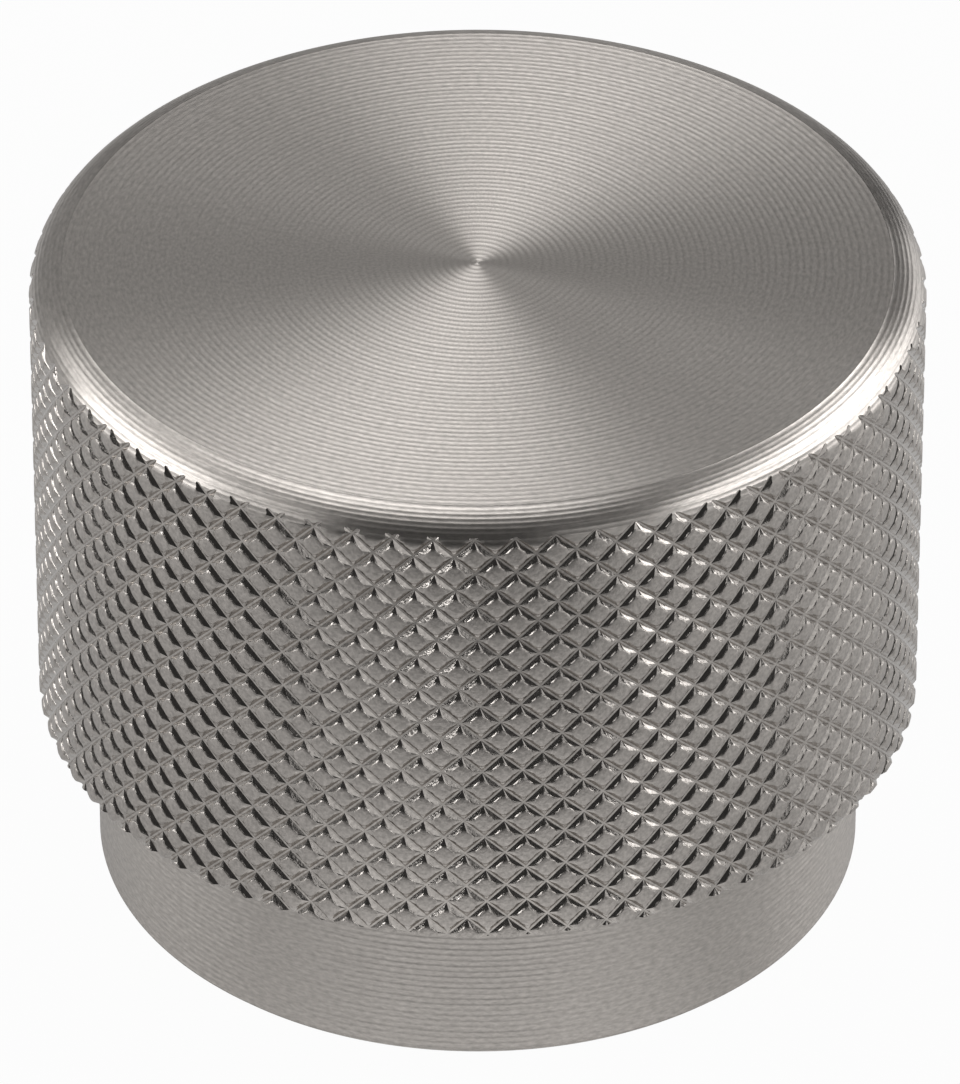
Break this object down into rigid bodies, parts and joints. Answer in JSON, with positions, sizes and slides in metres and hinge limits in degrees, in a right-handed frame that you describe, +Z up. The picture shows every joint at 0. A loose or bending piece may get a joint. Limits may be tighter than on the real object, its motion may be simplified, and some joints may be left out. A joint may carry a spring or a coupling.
{
  "type": "cabinet knob",
  "caption": "Solid turned cabinet knob with a diamond-knurled head, a ring-turned flat top and a plain foot with a blind tapped hole.",
  "frame": {"origin": "centre of the foot's flat face, where the knob meets the cabinet", "axes": "+Z up the knob's turning axis, from the foot to the top face; X and Y are equivalent"},
  "size_m": [0.032, 0.032, 0.025],
  "materials": {
    "turned_stainless": "bare stainless steel as it leaves the lathe: fine turning rings on the top face, bevel and foot, a rolled diamond knurl with matt crests and burnished flanks"
  },
  "bodies": {
    "root": {"knob": "turned_stainless"}
  },
  "joints": []
}
